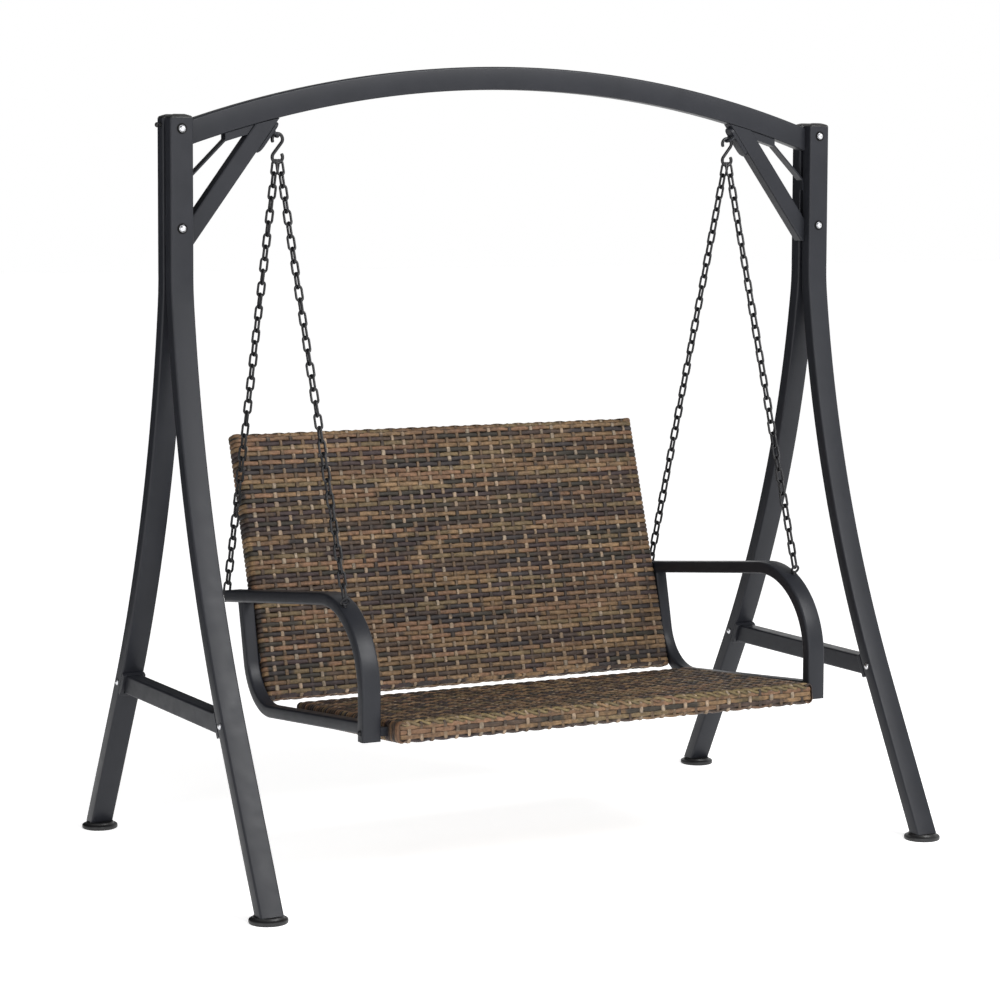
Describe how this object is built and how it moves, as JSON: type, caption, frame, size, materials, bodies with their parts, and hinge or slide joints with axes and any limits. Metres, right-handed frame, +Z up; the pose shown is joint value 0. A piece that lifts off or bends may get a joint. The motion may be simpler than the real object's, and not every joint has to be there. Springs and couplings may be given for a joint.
{
  "type": "garden porch swing",
  "caption": "Garden porch swing: a woven bench with a reclined back and tube armrests hangs by chains from a steel stand with splayed bowed legs and an arched top beam.",
  "frame": {"origin": "on the ground, midway between the feet, under the hinge axis of the bench", "axes": "+X along the bench to its left-hand end as seen from behind, which is the right-hand end as seen from the front; -Y is the way the bench faces; +Z up"},
  "size_m": [1.89, 1.1604, 1.938],
  "materials": {
    "frame_steel": "charcoal grey powder coat with a fine satin texture",
    "black_plastic": "black moulded plastic, matte",
    "bolt_zinc": "bright zinc plated",
    "dark_hardware": "black coated steel wire, slightly glossy",
    "rattan_weave": "woven synthetic rattan in mixed brown and tan strands"
  },
  "bodies": {
    "stand": {"arch_beam": "frame_steel", "side_knob_left": "black_plastic", "brace_left": "frame_steel", "corner_strap_left": "frame_steel", "eye_plate_left": "frame_steel", "crossbar_left": "frame_steel", "post_bolt_upper_left": "bolt_zinc", "post_nut_upper_left": "black_plastic", "post_bolt_lower_left": "bolt_zinc", "post_nut_lower_left": "black_plastic", "leg_front_left": "frame_steel", "leg_cap_front_left": "black_plastic", "foot_front_left": "black_plastic", "crossbar_socket_front_left": "frame_steel", "crossbar_bolt_front_left": "bolt_zinc", "leg_rear_left": "frame_steel", "leg_cap_rear_left": "black_plastic", "foot_rear_left": "black_plastic", "crossbar_socket_rear_left": "frame_steel", "crossbar_bolt_rear_left": "bolt_zinc", "brace_right": "frame_steel", "corner_strap_right": "frame_steel", "eye_plate_right": "frame_steel", "crossbar_right": "frame_steel", "post_bolt_upper_right": "bolt_zinc", "post_nut_upper_right": "black_plastic", "post_bolt_lower_right": "bolt_zinc", "post_nut_lower_right": "black_plastic", "leg_front_right": "frame_steel", "leg_cap_front_right": "black_plastic", "foot_front_right": "black_plastic", "crossbar_socket_front_right": "frame_steel", "crossbar_bolt_front_right": "bolt_zinc", "leg_rear_right": "frame_steel", "leg_cap_rear_right": "black_plastic", "foot_rear_right": "black_plastic", "crossbar_socket_rear_right": "frame_steel", "crossbar_bolt_rear_right": "bolt_zinc"},
    "swing": {"seat_weave": "rattan_weave", "back_weave": "rattan_weave", "seat_frame": "frame_steel", "back_frame": "frame_steel", "s_hook_left": "dark_hardware", "arm_left": "frame_steel", "arm_plug_left": "black_plastic", "side_frame_left": "frame_steel", "seat_bolt_left": "bolt_zinc", "eye_bolt_front_left": "dark_hardware", "chain_front_left": "dark_hardware", "eye_bolt_rear_left": "dark_hardware", "chain_rear_left": "dark_hardware", "s_hook_right": "dark_hardware", "arm_right": "frame_steel", "arm_plug_right": "black_plastic", "side_frame_right": "frame_steel", "seat_bolt_right": "bolt_zinc", "eye_bolt_front_right": "dark_hardware", "chain_front_right": "dark_hardware", "eye_bolt_rear_right": "dark_hardware", "chain_rear_right": "dark_hardware"}
  },
  "joints": [
    {"name": "bench_swing", "type": "hinge", "parent": "stand", "child": "swing", "pos_m": [0, 0, 1.7665], "axis": [1, 0, 0], "range_deg": [-25, 25]}
  ]
}
